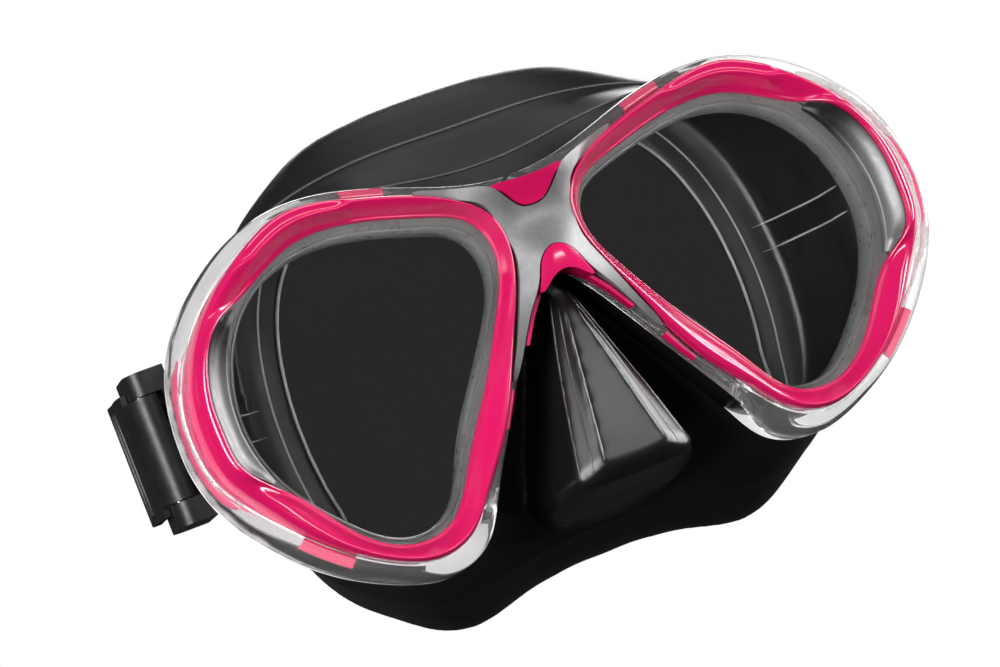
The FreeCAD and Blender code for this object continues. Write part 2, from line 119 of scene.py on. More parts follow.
def open_spline(points, count):
    """count points on the Catmull-Rom curve through the points, ends included."""
    knots = np.asarray(points, float)
    slopes = np.gradient(knots, axis=0)
    place = np.linspace(0, len(knots) - 1, count)
    first = np.minimum(place.astype(int), len(knots) - 2)
    return hermite(knots[first], slopes[first], knots[first + 1], slopes[first + 1], place - first)


def cad_radii(node, depth, outer, keep=40, limit=FAR):
    """Distance from EYE to a CAD node's outline all round it at one depth, in millimetres.

    The outer outline is met coming in from limit, the inner one going out from EYE.
    """
    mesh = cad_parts[node].data
    tree = BVHTree.FromPolygons([v.co for v in mesh.vertices], [p.vertices for p in mesh.polygons])
    origin = at(EYE[0], depth, EYE[1])
    reach = []
    for angle, far in zip(TURN, np.broadcast_to(limit, TURN.shape)):
        away = Vector((math.cos(angle), 0, math.sin(angle)))
        ray = (origin + away * far * MM, -away) if outer else (origin, away)
        hit = tree.ray_cast(*ray)[0]
        reach.append((hit - origin).length / MM if hit else np.nan)
    reach = np.array(reach)
    missing = np.isnan(reach)
    if missing.any():
        known = np.flatnonzero(~missing)
        reach[missing] = np.interp(np.flatnonzero(missing), known, reach[known], period=len(reach))
    return low_pass(reach, keep) if keep else reach


def around(radii, turn):
    """Radii known at TURN, read at other angles."""
    return np.interp(turn % (2 * math.pi), TURN, radii, period=2 * math.pi)


def ring_points(turn, radii, depth, side):
    """Points round the lens on one side, at the given angles and distances from its middle."""
    across = (EYE[0] + radii * np.cos(turn)) * side
    height = EYE[1] + radii * np.sin(turn)
    return np.stack([across, np.broadcast_to(depth, across.shape), height], -1)


def turned(profile, side):
    """One closed ring round the lens for each (radii, depth) of the profile."""
    return [ring_points(TURN, radii, depth, side) for radii, depth in profile]


def arc_rows(turn, profile, side):
    """The profile repeated along one stretch of the way round the lens."""
    return np.stack([ring_points(turn, radii, depth, side) for radii, depth in profile], 1)


def whole(half):
    """A closed left-right symmetric outline from its right half, whose ends lie on the centre line."""
    return list(half) + [(-across, height) for across, height in reversed(half) if across > 0]


def symmetric(half, per_knot=10):
    """A smooth closed outline through the points of the right half and their mirror images."""
    outline = whole(half)
    return closed_spline(outline, per_knot * len(outline))


def grown(outline, distance):
    """A closed (n, 2) outline moved outwards along its normals by distance."""
    run = np.roll(outline, -1, 0) - np.roll(outline, 1, 0)
    normal = np.stack([run[:, 1], -run[:, 0]], -1)
    normal /= np.linalg.norm(normal, axis=1)[:, None] + 1e-9
    x, z = outline[:, 0], outline[:, 1]
    area = np.sum(x * np.roll(z, -1) - np.roll(x, -1) * z)
    return outline + normal * distance * (1.0 if area > 0 else -1.0)


def sideways(line):
    """Unit normals to the right of an open (n, 2) line."""
    run = np.gradient(line, axis=0)
    run /= np.linalg.norm(run, axis=1)[:, None]
    return np.stack([run[:, 1], -run[:, 0]], -1)


def upright(outline, depth):
    """An (n, 2) outline of across and height as (n, 3) points at a depth."""
    return np.stack([outline[:, 0], np.broadcast_to(depth, len(outline)), outline[:, 1]], -1)


def evenly(points, step):
    """The polyline resampled at even spacing of about step."""
    points = np.asarray(points, float)
    length = np.concatenate([[0], np.cumsum(np.linalg.norm(np.diff(points, axis=0), axis=1))])
    place = np.linspace(0, length[-1], max(2, int(length[-1] / step) + 1))
    return np.stack([np.interp(place, length, points[:, i]) for i in range(points.shape[1])], -1)


# ------------------------------------------------------------------ mesh building
def grid_faces(rows, columns, wrap_rows=False, wrap_columns=True):
    """Four-sided faces between neighbours of a grid of points, closed where it wraps."""
    faces = []
    for i in range(rows if wrap_rows else rows - 1):
        row, next_row = i * columns, (i + 1) % rows * columns
        for j in range(columns if wrap_columns else columns - 1):
            beside = (j + 1) % columns
            faces.append((row + j, row + beside, next_row + beside, next_row + j))
    return faces


class Build:
    """Vertices and faces of one piece, gathered from several closed shells."""

    def __init__(self):
        self.points = []
        self.faces = []

    def add(self, points, faces):
        start = len(self.points)
        self.points.extend(at(*p) for p in np.asarray(points, float).reshape(-1, 3))
        self.faces.extend(tuple(start + i for i in face) for face in faces)

    def tube(self, rails):
        """Rows of points closed both along each row and from the last row to the first."""
        rows = np.asarray(rails)
        self.add(rows, grid_faces(len(rows), rows.shape[1], wrap_rows=True))

    def barrel(self, rails):
        """Rows of points closed along each row, with a flat cap on the first and the last."""
        rows = np.asarray(rails)
        count = rows.shape[1]
        first = tuple(range(count))
        last = tuple((len(rows) - 1) * count + i for i in first)
        self.add(rows, grid_faces(len(rows), count) + [first[::-1], last])

    def piece(self, name):
        """The shells as one object, their faces turned outwards."""
        mesh = bpy.data.meshes.new(name)
        mesh.from_pydata(self.points, [], self.faces)
        mesh.validate()
        work = bmesh.new()
        work.from_mesh(mesh)
        bmesh.ops.recalc_face_normals(work, faces=work.faces)
        work.to_mesh(mesh)
        work.free()
        return new_object(name, mesh)


def new_object(name, data):
    obj = bpy.data.objects.new(name, data)
    bpy.context.scene.collection.objects.link(obj)
    return obj


def solid(name, rows):
    shape = Build()
    shape.barrel(rows)
    return shape.piece(name)


def smooth(obj, angle=None):
    """Smooth shading, with sharp edges where faces meet at more than angle degrees."""
    for polygon in obj.data.polygons:
        polygon.use_smooth = True
    if angle is not None:
        obj.data.set_sharp_from_angle(angle=math.radians(angle))


def soften(obj, width, limit):
    """Rounds edges by width, in millimetres, where faces meet at more than limit degrees."""
    bevel = obj.modifiers.new("soft_edge", "BEVEL")
    bevel.width = width * MM
    bevel.segments = 3
    bevel.limit_method = "ANGLE"
    bevel.angle_limit = math.radians(limit)


def subdivide(obj, levels):
    modifier = obj.modifiers.new("subdivision", "SUBSURF")
    modifier.levels = levels
    modifier.render_levels = levels


def apply_modifiers(obj):
    graph = bpy.context.evaluated_depsgraph_get()
    mesh = bpy.data.meshes.new_from_object(obj.evaluated_get(graph), depsgraph=graph)
    obj.modifiers.clear()
    old = obj.data
    obj.data = mesh
    bpy.data.meshes.remove(old)


def bead_rows(points, radius, sides=8):
    """Rings of a round cord along the points, tapering to its two ends."""
    points = np.asarray(points, float)
    along = np.gradient(points, axis=0)
    along /= np.linalg.norm(along, axis=1)[:, None]
    up = np.array([0.31, 0.17, 0.93])                # no bead runs this way
    first = np.cross(along, up)
    first /= np.linalg.norm(first, axis=1)[:, None]
    second = np.cross(along, first)
    share = np.linspace(0, 1, len(points))
    size = radius * (0.15 + 0.85 * np.minimum(1.0, np.minimum(share, 1 - share) * 10.0))
    turn = np.linspace(0, 2 * math.pi, sides, endpoint=False)
    ring = first[:, None] * np.cos(turn)[None, :, None] + second[:, None] * np.sin(turn)[None, :, None]
    return points[:, None] + ring * size[:, None, None]


def boolean(obj, other, operation):
    modifier = obj.modifiers.new(operation.lower(), "BOOLEAN")
    modifier.operation = operation
    modifier.solver = "EXACT"
    modifier.object = other
    apply_modifiers(obj)
    bpy.data.objects.remove(other)


def finish_piece(obj, material, body, nodes=()):
    """Gives a piece its material and its moving body, and hides the CAD nodes that it replaces."""
    obj.data.materials.clear()
    obj.data.materials.append(material)
    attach(obj, body)
    if nodes:
        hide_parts(*nodes)


# ------------------------------------------------------------------ materials
NOISE_LOW, NOISE_HIGH = 0.3, 0.7            # nearly all of a noise texture's values lie between these


def new_material(name, colour, roughness, **constants):
    material = bpy.data.materials.new(name)
    material.use_nodes = True
    shader = material.node_tree.nodes["Principled BSDF"]
    shader.inputs["Base Color"].default_value = (*colour, 1.0)
    shader.inputs["Roughness"].default_value = roughness
    for socket, value in constants.items():
        shader.inputs[socket.replace("_", " ")].default_value = value
    return material


def add_node(tree, kind, values=None, feeds=None):
    """A shader node with the values of its inputs and the outputs that feed them."""
    node = tree.nodes.new("ShaderNode" + kind)
    for socket, value in (values or {}).items():
        node.inputs[socket].default_value = value
    for socket, output in (feeds or {}).items():
        tree.links.new(output, node.inputs[socket])
    return node


def feed_shader(material, socket, output):
    tree = material.node_tree
    tree.links.new(output, tree.nodes["Principled BSDF"].inputs[socket])


def noise(material, scale, detail=3.0):
    tree = material.node_tree
    place = add_node(tree, "TexCoord").outputs["Object"]
    return add_node(tree, "TexNoise", {"Scale": scale, "Detail": detail}, {"Vector": place}).outputs["Fac"]


def vary_colour(material, value, dark, light):
    ramp = add_node(material.node_tree, "ValToRGB", feeds={"Fac": value})
    low, high = ramp.color_ramp.elements
    low.position, high.position = NOISE_LOW, NOISE_HIGH
    low.color, high.color = (*dark, 1.0), (*light, 1.0)
    feed_shader(material, "Base Color", ramp.outputs["Color"])


def vary_roughness(material, value, low, high):
    span = {"From Min": NOISE_LOW, "From Max": NOISE_HIGH, "To Min": low, "To Max": high}
    spread = add_node(material.node_tree, "MapRange", span, {"Value": value})
    feed_shader(material, "Roughness", spread.outputs["Result"])


def bump(material, value, height):
    relief = add_node(material.node_tree, "Bump", {"Distance": height, "Strength": 1.0}, {"Height": value})
    feed_shader(material, "Normal", relief.outputs["Normal"])


def pink_plastic():
    material = new_material("pink_plastic", (0.76, 0.006, 0.125), 0.17,
                            Specular_IOR_Level=0.7, Coat_Weight=0.7, Coat_Roughness=0.12)
    vary_colour(material, noise(material, 45, 2.0), (0.74, 0.0055, 0.120), (0.78, 0.0065, 0.130))
    vary_roughness(material, noise(material, 400), 0.16, 0.20)
    return material


def clear_plastic():
    material = new_material("clear_polycarbonate", (0.96, 0.97, 0.97), 0.04,
                            IOR=1.36, Transmission_Weight=0.94)
    vary_roughness(material, noise(material, 300), 0.02, 0.07)
    bump(material, noise(material, 90, 2.0), 0.00001)
    return material


def frosted_plastic_painted_glow():
    """The frosted back face of the clear frame, with a weak painted glow from a constant emission."""
    # The emission is a painted glow, not light led through the plastic.
    material = new_material("frosted_polycarbonate_painted_glow", (0.9, 0.9, 0.9), 0.5, IOR=1.25,
                            Transmission_Weight=0.7, Emission_Color=(1, 1, 1, 1), Emission_Strength=0.24)
    vary_colour(material, noise(material, 110, 4.0), (0.80, 0.80, 0.80), (0.98, 0.98, 0.98))
    vary_roughness(material, noise(material, 300), 0.4, 0.6)
    return material


def lens_glass():
    material = new_material("tempered_glass", (0.96, 0.97, 0.97), 0.0, IOR=1.42, Transmission_Weight=1.0)
    vary_colour(material, noise(material, 30), (0.95, 0.96, 0.96), (0.97, 0.98, 0.98))
    return material


def gasket_silicone():
    material = new_material("clear_gasket", (0.26, 0.26, 0.262), 0.3, Specular_IOR_Level=0.6)
    vary_colour(material, noise(material, 120), (0.23, 0.23, 0.232), (0.29, 0.29, 0.292))
    vary_roughness(material, noise(material, 500), 0.26, 0.34)
    return material


def satin_silver():
    material = new_material("satin_silver", (0.3, 0.3, 0.305), 0.5, Metallic=0.5)
    vary_colour(material, noise(material, 900, 2.0), (0.28, 0.28, 0.285), (0.32, 0.32, 0.325))
    vary_roughness(material, noise(material, 700), 0.47, 0.53)
    return material


def satin_with_painted_shade():
    """Satin trim with fine grain, and a painted shade darkening it towards the brow."""
    material = new_material("satin_panel_painted_shade", (0.2, 0.2, 0.203), 0.4, Metallic=0.5)
    tree = material.node_tree
    full_shade_height, no_shade_height, grain_share = 0.026, 0.004, 0.1
    place = add_node(tree, "TexCoord").outputs["Object"]
    split = add_node(tree, "SeparateXYZ", feeds={"Vector": place})
    # Painted shade: 0 at the brow end, rising to 1 lower down, then mixed with the grain.
    fall = add_node(tree, "MapRange", {"From Min": full_shade_height, "From Max": no_shade_height},
                    {"Value": split.outputs["Z"]})
    grain = add_node(tree, "Math", {1: grain_share},
                     {0: noise(material, 900, 2.0), 2: fall.outputs["Result"]})
    grain.operation = "MULTIPLY_ADD"
    vary_colour(material, grain.outputs["Value"], (0.03, 0.03, 0.031), (0.18, 0.18, 0.183))
    vary_roughness(material, noise(material, 700), 0.36, 0.44)
    return material


def black_silicone():
    material = new_material("black_silicone", (0.008, 0.008, 0.0085), 0.3, Specular_IOR_Level=0.55)
    vary_colour(material, noise(material, 60), (0.007, 0.007, 0.0073), (0.009, 0.009, 0.0094))
    vary_roughness(material, noise(material, 70, 2.0), 0.27, 0.33)
    bump(material, noise(material, 500, 2.0), 0.000006)
    return material


def silicone_edge_painted_highlight():
    """Thin moulded edges, where the silicone is glossier, coloured lighter than the skirt as a painted
    highlight.
    """
    material = new_material("silicone_edge_painted_highlight", (0.055, 0.055, 0.057), 0.18, Specular_IOR_Level=1.0)
    vary_colour(material, noise(material, 60), (0.045, 0.045, 0.047), (0.065, 0.065, 0.067))
    vary_roughness(material, noise(material, 90), 0.15, 0.21)
    return material


def seal_edge_painted_highlight():
    """Pale colour on the inner edges of the sealing flange, a painted highlight."""
    material = new_material("seal_edge_painted_highlight", (0.75, 0.74, 0.74), 0.25, Specular_IOR_Level=0.9)
    vary_colour(material, noise(material, 60), (0.70, 0.69, 0.69), (0.80, 0.79, 0.79))
    vary_roughness(material, noise(material, 90), 0.2, 0.3)
    return material


def black_nylon():
    material = new_material("black_plastic", (0.010, 0.010, 0.010), 0.38, Specular_IOR_Level=0.45)
    vary_colour(material, noise(material, 200), (0.010, 0.010, 0.010), (0.015, 0.015, 0.015))
    vary_roughness(material, noise(material, 900), 0.32, 0.42)
    bump(material, noise(material, 3000, 2.0), 0.000008)
    return material


def stainless():
    material = new_material("stainless_steel", (0.6, 0.6, 0.6), 0.25, Metallic=1.0)
    vary_roughness(material, noise(material, 1500), 0.2, 0.32)
    return material


PINK = pink_plastic()
CLEAR = clear_plastic()
FROSTED_PAINTED_GLOW = frosted_plastic_painted_glow()
GLASS = lens_glass()
GASKET = gasket_silicone()
SILVER = satin_silver()
PANEL_PAINTED_SHADE = satin_with_painted_shade()
SILICONE = black_silicone()
SEAM_PAINTED_HIGHLIGHT = silicone_edge_painted_highlight()
SEAL_PAINTED_HIGHLIGHT = seal_edge_painted_highlight()
NYLON = black_nylon()
STEEL = stainless()

# ------------------------------------------------------------------ outlines read from the CAD frame
TURN = np.linspace(0.0, 2.0 * math.pi, 360, endpoint=False)
SIGNED = (np.degrees(TURN) + 180.0) % 360.0 - 180.0  # -180 to 180, 0 towards the temple
MIDLINE = np.minimum(EYE[0] / np.maximum(-np.cos(TURN), 1e-6), FAR)
OPENING = cad_radii("lens_left", 2.5, True) - 2.4    # what is seen of the glass inside its ring
RING_IN = cad_radii("bezel_left", -3.0, False)
RING_OUT = cad_radii("bezel_left", -3.0, True)
FRAME_OUT = np.maximum(cad_radii("main_frame", 3.0, True, keep=0, limit=MIDLINE), RING_OUT + 0.7)
GLASS_EDGE = OPENING + 2.3
SEAT = OPENING + 2.5                                 # where the clear frame holds the glass
BACKING = OPENING + 3.9                              # inner edge of the frosted face and the collar


# ------------------------------------------------------------------ pink rings
# Cross-sections from the inner wall to the outer wall, as (share of the width, depth in mm).
NORMAL = [(0.0, 0.5), (0.0, -0.7), (0.03, -1.25), (0.09, -1.45), (0.14, -1.25), (0.20, -1.55), (0.42, -3.2),
          (0.66, -4.75), (0.78, -5.2), (0.85, -5.1), (0.93, -4.4), (1.0, -3.3), (1.0, 0.5)]
TEMPLE = [(0.0, 0.5), (0.0, -5.0), (0.03, -5.6), (0.10, -6.0), (0.20, -5.95), (0.30, -5.6), (0.42, -4.7),
          (0.50, -3.5), (0.56, -2.9), (0.68, -1.9), (0.84, 0.4), (1.0, 3.6), (1.0, 6.0)]
WING = [(0.0, 0.5), (0.0, -0.7), (0.03, -1.25), (0.10, -1.6), (0.20, -2.2), (0.34, -3.6), (0.48, -5.0),
        (0.56, -5.35), (0.62, -5.15), (0.68, -4.9), (0.93, -5.4), (1.0, -4.8), (1.0, 0.5)]
# How far the inner edge is lifted beside the temple panel, and how far the outer edge wraps back there.
LIFT = low_pass(smoothstep(0.2, 4.2, RING_IN - OPENING), 36)
WRAP = low_pass(np.interp(SIGNED, [-62, -48, -34, -20, -10, 0, 16, 24, 32, 40, 49, 58],
                          [0.0, 0.08, 0.35, 0.75, 0.93, 1.0, 0.97, 0.9, 0.7, 0.42, 0.12, 0.0]), 30)


def ring_rails(side):
    """The ring's cross-section carried round the lens, bent at the temple and at the top's wing."""
    wing = window(SIGNED, 60.0, 88.0, 8.0)
    rails = []
    for normal, bent, crest in zip(NORMAL, TEMPLE, WING):
        temple = LIFT + (WRAP - LIFT) * smoothstep(0.12, 0.6, normal[0])
        share, depth = (n + (b - n) * temple + (c - n) * wing * (1.0 - temple)
                        for n, b, c in zip(normal, bent, crest))
        rails.append(ring_points(TURN, RING_IN + (RING_OUT - RING_IN) * share, depth, side))
    return rails


def build_rings():
    for name, side in SIDES:
        shape = Build()
        shape.tube(ring_rails(side))
        ring = shape.piece(f"lens_ring_{name}")
        subdivide(ring, 2)
        smooth(ring)
        finish_piece(ring, PINK, "mask", [f"bezel_{name}"])


# ------------------------------------------------------------------ clear frame
NOSE_SIDE = 1.0 - window(SIGNED, -92.0, 138.0, 22.0)
FRAME_BACK = 11.4 - 9.2 * NOSE_SIDE                  # the silicone laps over the frame beside the nose
PORT_BACK = 12.0                                     # the ports reach back to the skirt all round


def build_frame():
    """The clear frame: a channel for each ring and a port for each lens, with fine ribs at the temples."""
    port = OPENING - 1.2
    channel = RING_OUT + 0.1
    room = FRAME_OUT - channel
    ribs = 0.45 * window(SIGNED, -30.0, 42.0, 6.0) * (0.5 - 0.5 * np.cos(np.radians(SIGNED) * 34))
    wall = (FRAME_BACK - 1.0) / 10.4                 # shallower beside the nose
    profile = [
        (port, PORT_BACK), (port, 6.6), (SEAT, 6.5), (SEAT, 0.7), (channel, 0.65),
        (channel, -1.4), (channel + 0.12 * room, -1.75), (channel + 0.45 * room, -1.5),
        (channel + 0.72 * room, -0.6), (channel + 0.9 * room, 0.8), (FRAME_OUT - 0.1, 1.0 + 2.0 * wall),
        (FRAME_OUT - ribs, 1.0 + 3.4 * wall), (FRAME_OUT - ribs, 1.0 + 7.0 * wall),
        (FRAME_OUT, 1.0 + 8.0 * wall), (FRAME_OUT - 0.6, FRAME_BACK),
        (SEAT + 1.2, FRAME_BACK + 0.15), (SEAT + 1.2, PORT_BACK),
    ]
    shape = Build()
    for _, side in SIDES:
        shape.tube(turned(profile, side))
    body = shape.piece("clear_frame")
    smooth(body, 35)
    finish_piece(body, CLEAR, "mask", ["main_frame"])


def build_liner():
    """The frosted back face of the clear frame, from under the lens round the temple to the brow."""
    start, end, taper = -142.0, 84.0, 16.0
    degrees = np.arange(start, end + 1.0)
    turn = np.radians(degrees)
    ends = smoothstep(start, start + taper, degrees) * smoothstep(end, end - taper, degrees)
    inner = around(BACKING, turn)
    narrow = inner + 0.3
    rim = narrow + np.maximum(around(FRAME_OUT - 0.3, turn) - narrow, 0.1) * ends
    profile = [(inner, 11.75), (rim, 11.75), (rim, 12.0), (inner, 12.05)]
    shape = Build()
    for _, side in SIDES:
        shape.barrel(arc_rows(turn, profile, side))
    liner = shape.piece("frame_liner")
    smooth(liner, 35)
    # The liner's frosted material carries a painted glow.
    finish_piece(liner, FROSTED_PAINTED_GLOW, "mask")


# ------------------------------------------------------------------ lenses and gaskets
def build_lenses():
    front, back, bevel = 0.65, 4.35, 0.35
    profile = [(GLASS_EDGE - bevel, front), (GLASS_EDGE, front + bevel),
               (GLASS_EDGE, back - bevel), (GLASS_EDGE - bevel, back)]
    for name, side in SIDES:
        lens = solid(f"lens_glass_{name}", turned(profile, side))
        smooth(lens, 20)
        finish_piece(lens, GLASS, "mask", [f"lens_{name}"])


def build_gaskets():
    """Clear seals behind the glass: a lip with a groove against it, and a sleeve lining the port."""
    lip = OPENING - 1.9
    sleeve = OPENING - 1.3
    profile = [
        (GLASS_EDGE, 4.45), (GLASS_EDGE, 6.4), (sleeve, 6.4), (sleeve, 11.8),
        (sleeve - 0.3, PORT_BACK), (lip, 11.4), (lip, 5.0), (lip + 0.3, 4.5), (lip + 0.6, 4.5),
        (lip + 0.8, 4.85), (lip + 1.0, 4.85), (lip + 1.2, 4.45),
    ]
    for name, side in SIDES:
        shape = Build()
        shape.tube(turned(profile, side))
        gasket = shape.piece(f"lens_seal_{name}")
        smooth(gasket, 50)
        finish_piece(gasket, GASKET, "mask", [f"lens_gasket_{name}"])


build_rings()
build_frame()
build_liner()
build_lenses()
build_gaskets()


# ------------------------------------------------------------------ bridge trim
# Right halves of the outlines from the front, as (across, height).
COVER = [
    (0.0, 25.6), (2.6, 26.0), (4.9, 27.9), (6.7, 30.0), (8.7, 32.0), (14.0, 34.2), (22.6, 36.9),
    (21.4, 35.3), (14.6, 31.9), (10.0, 28.3), (8.3, 22.0), (7.9, 15.6), (11.0, 7.0), (14.5, -0.8),
    (17.7, -7.2), (16.5, -7.2), (13.0, -1.5), (9.6, 4.2), (6.4, 8.6), (4.6, 12.4), (2.6, 15.0), (0.0, 16.0),
]
TOP_INSERT = [(0.0, 25.9), (2.3, 26.3), (4.4, 28.0), (6.2, 30.0), (8.2, 31.9), (4.0, 31.7), (0.0, 31.6)]
ARCH_INSERT = [
    (0.0, 15.8), (2.4, 14.9), (4.3, 12.3), (5.7, 8.9), (6.3, 7.4), (5.4, 7.2), (2.8, 9.2), (0.0, 10.1),
]
ARM_STRIP = [(5.2, 8.9), (9.4, 3.7), (12.9, -2.0), (12.3, -2.3), (8.8, 3.1), (4.9, 8.0)]
# Places that the front of the trim passes through, as (across, depth, height).
RELIEF = [
    (0.0, -9.5, 15.2), (0.0, -8.6, 11.0), (0.0, -5.6, 20.8), (0.0, -4.6, 25.2), (0.0, -7.4, 29.0),
    (0.0, -8.6, 31.6), (8.1, -9.4, 31.6), (5.0, -7.6, 28.6), (5.0, -5.6, 23.4), (4.6, -6.8, 17.4),
    (5.6, -8.2, 9.2), (9.0, -6.6, 6.6), (8.2, -5.0, 22.0), (7.6, -5.2, 15.6), (10.0, -4.8, 28.3),
    (14.4, -4.6, 32.4), (14.0, -5.0, 34.2), (21.8, -3.6, 36.2), (11.0, -5.8, 1.5), (13.8, -4.0, -4.0),
    (16.6, -4.6, -4.4), (17.2, -3.0, -7.2),
]


def relief_surface(across, height):
    """Depth of the bridge's front surface, drawn smoothly close to RELIEF and its mirror image."""
    known = np.array(RELIEF + [(-a, d, h) for a, d, h in RELIEF if a > 0])
    rounding, give, level = 7.0, 0.3, -5.5

    def kernel(x, z):
        return np.sqrt((x[:, None] - known[:, 0]) ** 2 + (z[:, None] - known[:, 2]) ** 2 + rounding**2)

    system = kernel(known[:, 0], known[:, 2]) - np.eye(len(known)) * give
    weights = np.linalg.solve(system, known[:, 1] - level)
    return kernel(across, height) @ weights + level


def relief_block(name, forward):
    """A block whose front is the bridge's relief moved forward, to cut each trim piece from."""
    shallowest, back_depth = -2.4, -1.9
    across, height = np.meshgrid(np.linspace(-24, 24, 97), np.linspace(-12, 42, 109))
    grid = np.arange(across.size).reshape(across.shape)
    across, height = across.ravel(), height.ravel()
    depth = np.minimum(relief_surface(across, height) - forward, shallowest)
    front = np.stack([across, depth, height], -1)
    back = np.stack([across, np.full_like(across, back_depth), height], -1)
    count = grid.size
    faces = grid_faces(*grid.shape, wrap_columns=False)
    faces += [tuple(i + count for i in face[::-1]) for face in faces]
    border = np.concatenate([grid[0], grid[1:, -1], grid[-1, -2::-1], grid[-2:0:-1, 0]]).tolist()
    faces += [(a, b, b + count, a + count) for a, b in zip(border[-1:] + border[:-1], border)]
    block = Build()
    block.add(np.concatenate([front, back]), faces)
    return block.piece(name)


def build_trim(name, half, forward, material, node):
    """One bridge piece: its outline as a prism, cut to the relief, with softened edges."""
    outline = symmetric(half, 8)
    piece = solid(name, [upright(outline, depth) for depth in (-14.0, -2.0)])
    boolean(piece, relief_block(name + "_relief", forward), "INTERSECT")
    soften(piece, 0.35, 50)
    smooth(piece, 40)
    finish_piece(piece, material, "mask", [node])


def build_bridge():
    build_trim("bridge_trim", COVER, 0.0, SILVER, "bridge_cover")
    build_trim("bridge_shield", TOP_INSERT, 0.2, PINK, "bridge_insert_top")
    build_trim("bridge_arch", ARCH_INSERT, 0.2, PINK, "bridge_insert_arch")
    strips = Build()
    for _, side in SIDES:
        outline = np.array([(across * side, height) for across, height in ARM_STRIP])
        strips.barrel([upright(outline, depth) for depth in (-4.9, -2.1)])
    lining = strips.piece("arch_lining")
    smooth(lining, 30)
    finish_piece(lining, PINK, "mask")


# ------------------------------------------------------------------ silver temple panels
# Cross-section of a panel from the lens outwards, as (share of the width, rise).
DISH = [(0.0, 0.0), (0.0, 1.0), (0.04, 1.12), (0.12, 1.16), (0.35, 1.3), (0.7, 1.75), (0.94, 2.3),
        (1.0, 2.32), (1.0, 0.0)]


def build_panels():
    """Dished crescents between the pink ring and the lens opening at each temple."""
    turn = np.radians(np.linspace(-17.0, 43.0, 90))
    inner = around(OPENING, turn) + 0.15
    width = np.maximum(around(RING_IN, turn) - 0.12 - inner, 0.25)
    swell = 2.0 * (0.35 + 0.65 * smoothstep(0.2, 3.0, width))
    profile = [(inner + width * share, 0.4 - swell * rise) for share, rise in DISH]
    for name, side in SIDES:
        panel = solid(f"temple_trim_{name}", arc_rows(turn, profile, side))
        smooth(panel, 50)
        # The panels' satin carries a painted shade towards the brow.
        finish_piece(panel, PANEL_PAINTED_SHADE, "mask", [f"temple_panel_{name}"])


# ------------------------------------------------------------------ pink clips
def build_clips():
    """Pink catches of the lens rings, seated in the clear frame beside each ring."""
    section = [(0.02, 0.5), (0.02, -1.1), (0.2, -1.35), (0.6, -1.25), (1.0, -0.4), (1.0, 0.5)]
    for name, side in SIDES:
        shape = Build()
        for start, end in ((-53.0, -36.0), (-156.0, -136.0), (93.0, 106.0)):
            turn = np.radians(np.linspace(start, end, 24))
            edge = around(RING_OUT, turn) + 0.25
            width = np.clip(around(FRAME_OUT - RING_OUT, turn) * 0.7, 0.3, 2.1)
            profile = [(edge + width * share, depth) for share, depth in section]
            shape.barrel(arc_rows(turn, profile, side))
        clip = shape.piece(f"ring_clips_{name}")
        smooth(clip, 40)
        finish_piece(clip, PINK, "mask")


# ------------------------------------------------------------------ silicone skirt
# Right halves of the outer wall's outline at the frame, at the crease and at the face, as (across, height).
SKIRT_FRONT = [
    (0.0, 32.6), (12.0, 34.0), (27.0, 38.6), (45.0, 42.6), (59.0, 40.6), (70.0, 33.4), (76.2, 22.0),
    (77.9, 8.0), (77.0, -6.0), (72.0, -17.6), (62.0, -29.0), (54.0, -36.4), (45.0, -38.8),
    (36.6, -35.6), (28.0, -25.6), (20.0, -13.6), (12.0, -1.6), (6.0, 8.2), (0.0, 13.8),
]
SKIRT_MIDDLE = [
    (0.0, 50.4), (12.0, 50.6), (27.0, 50.2), (44.0, 47.4), (57.0, 42.6), (67.0, 35.0), (74.0, 23.4),
    (76.4, 8.0), (76.2, -8.0), (72.0, -20.6), (63.6, -32.0), (54.4, -40.4), (44.0, -45.8),
    (34.0, -46.4), (26.0, -44.9), (19.0, -43.4), (12.0, -42.7), (6.0, -42.4), (0.0, -42.4),
]
SKIRT_RIM = [
    (0.0, 64.8), (12.0, 64.5), (24.0, 63.2), (34.0, 60.3), (45.0, 53.8), (54.6, 45.8), (62.8, 32.0),
    (67.4, 14.0), (68.2, -5.0), (65.4, -23.6), (58.8, -37.0), (50.4, -44.8), (42.4, -50.6),
    (34.0, -52.9), (26.0, -51.7), (19.0, -49.9), (12.0, -48.9), (6.0, -48.4), (0.0, -48.5),
]
# Nose pocket from its leaning front panel backwards, as right halves of (across, height).
NOSE_PANEL = [(0.0, 3.0), (1.5, 1.6), (6.9, -28.4), (7.5, -30.6), (6.6, -32.0), (4.6, -32.4), (0.0, -32.5)]
NOSE_FLANK = [(0.0, 7.2), (2.3, 6.2), (12.6, -29.2), (13.7, -32.4), (12.2, -34.7), (9.0, -35.3),
              (0.0, -35.5)]
NOSE_EDGE = [(0.0, 10.6), (2.4, 9.9), (15.4, -29.6), (16.8, -33.8), (15.8, -36.4), (12.6, -37.3),
             (0.0, -37.6)]
NOSE_MIDDLE = [(0.0, 11.0), (3.8, 8.2), (16.6, -29.6), (18.0, -34.2), (16.4, -37.8), (12.8, -39.2),
               (0.0, -39.7)]
NOSE_BACK = [(0.0, 12.0), (9.4, 6.0), (17.6, -28.0), (18.6, -33.0), (16.6, -38.6), (12.6, -41.6),
             (0.0, -42.4)]
